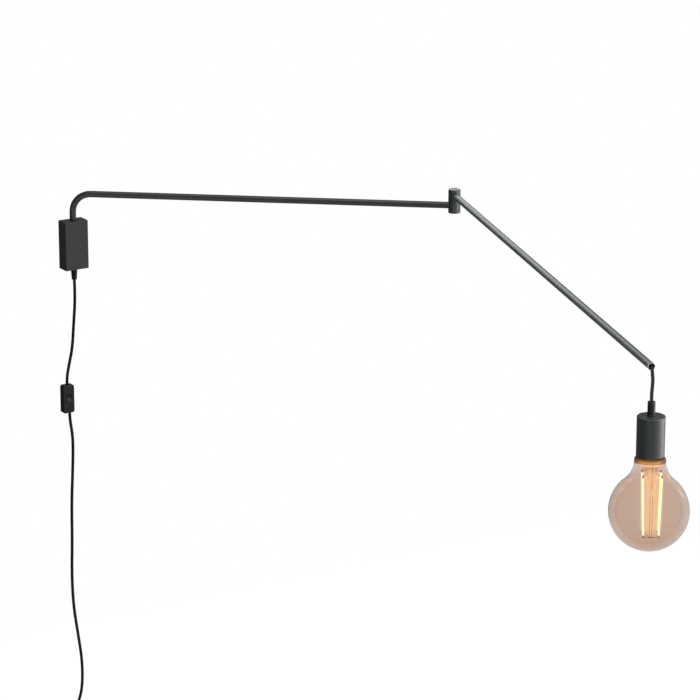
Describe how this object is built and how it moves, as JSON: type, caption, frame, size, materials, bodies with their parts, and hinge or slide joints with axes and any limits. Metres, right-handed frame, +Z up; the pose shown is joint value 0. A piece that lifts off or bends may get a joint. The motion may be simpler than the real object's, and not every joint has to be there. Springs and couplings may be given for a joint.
{
  "type": "articulating wall lamp",
  "caption": "Wall lamp with two jointed swing arms, a globe bulb hung on a cord from the arm's open end, and a plug-in mains cord with an inline switch.",
  "frame": {"origin": "middle of the wall face: the flat back of the wall bracket, centred across and up the wall box", "axes": "+X right along the wall seen from the room, +Y into the wall, +Z up"},
  "size_m": [0.6154, 1.5722, 1.226],
  "materials": {
    "powder_coat": "black powder coat, satin",
    "bracket_steel": "zinc-plated steel",
    "black_steel": "black oxide steel",
    "bush_plastic": "black acetal",
    "black_plastic": "moulded black plastic, satin",
    "rocker_plastic": "moulded black plastic, gloss",
    "terminal_plastic": "natural nylon",
    "steel_screws": "nickel-plated screws",
    "brass_contacts": "stamped brass",
    "plug_metal": "nickel-plated brass",
    "cord_jacket": "black round cord jacket",
    "wire_insulation": "brown and blue wire insulation",
    "socket_insulator": "black thermoset",
    "bulb_glass": "clear amber-rose glass, smooth",
    "stem_glass": "clear glass stem",
    "contact_tin": "solder bead",
    "filament": "yellow phosphor coating, glowing",
    "support_wire": "fine support wire"
  },
  "bodies": {
    "wall_unit": {"wall_bracket": "bracket_steel", "cover": "powder_coat", "cover_screws": "black_steel", "upper_bush": "bush_plastic", "lower_bush": "bush_plastic", "thrust_washer": "bracket_steel", "terminal_block": "terminal_plastic", "terminal_screws": "steel_screws", "base_wires": "wire_insulation", "cord_gland": "black_plastic", "mains_lead_inside": "cord_jacket", "cord_saddle": "terminal_plastic", "saddle_screws": "steel_screws", "mains_cord_upper": "cord_jacket", "switch_front": "black_plastic", "switch_back": "black_plastic", "switch_screws": "steel_screws", "switch_contacts": "brass_contacts", "mains_cord_lower": "cord_jacket", "mains_cord_coil": "cord_jacket", "coil_tie": "black_plastic", "mains_cord_tail": "cord_jacket", "plug_body": "black_plastic", "plug_pins": "plug_metal"},
    "rocker": {"switch_rocker": "rocker_plastic"},
    "first_arm": {"arm_one_tube": "powder_coat", "thrust_collar": "bracket_steel", "retaining_collar": "bracket_steel", "collar_screws": "black_steel", "arm_one_wires": "wire_insulation", "knuckle_lower": "powder_coat", "stop_dowel": "black_steel", "elbow_washer": "bush_plastic", "bottom_cap": "bush_plastic", "pivot_screw": "black_steel", "screw_washer": "black_steel", "lock_nut": "bracket_steel"},
    "second_arm": {"arm_two_tube": "powder_coat", "cord_anchor": "terminal_plastic", "arm_two_wires": "wire_insulation", "knuckle_upper": "powder_coat", "pendant_cord_inside": "cord_jacket"},
    "pendant_link": {"pendant_cord_upper": "cord_jacket"},
    "pendant": {"pendant_cord_lower": "cord_jacket", "cord_grip": "black_plastic", "grip_screw": "rocker_plastic", "holder_cup": "powder_coat", "nipple": "bracket_steel", "nipple_nut": "bracket_steel", "socket_body": "socket_insulator", "socket_terminals": "steel_screws", "socket_shell": "plug_metal", "socket_contact": "brass_contacts", "holder_wires": "wire_insulation", "bulb_glass": "bulb_glass", "bulb_cap": "plug_metal", "bulb_contact": "contact_tin", "bulb_stem": "stem_glass", "bulb_filaments": "filament", "filament_supports": "support_wire"}
  },
  "joints": [
    {"name": "base_swing", "type": "hinge", "parent": "wall_unit", "child": "first_arm", "pos_m": [0, -0.014, 0], "axis": [0, 0, 1], "range_deg": [-138.5, 37.5]},
    {"name": "elbow_swing", "type": "hinge", "parent": "first_arm", "child": "second_arm", "pos_m": [0.54168, -0.46053, 0.1038], "axis": [0, 0, 1], "range_deg": [-96.3, 233.7]},
    {"name": "pendant_sway", "type": "hinge", "parent": "second_arm", "child": "pendant_link", "pos_m": [0.19671, -1.50977, 0.1064], "axis": [-0.3123, -0.95, 0], "range_deg": [-25, 25]},
    {"name": "pendant_swing", "type": "hinge", "parent": "pendant_link", "child": "pendant", "pos_m": [0.19671, -1.50977, 0.0843], "axis": [0.95, -0.3123, 0], "range_deg": [-25, 25]},
    {"name": "switch_rock", "type": "hinge", "parent": "wall_unit", "child": "rocker", "pos_m": [-0.0203, -0.0197, -0.2917], "axis": [1, 0, 0], "range_deg": [0, 16]}
  ]
}
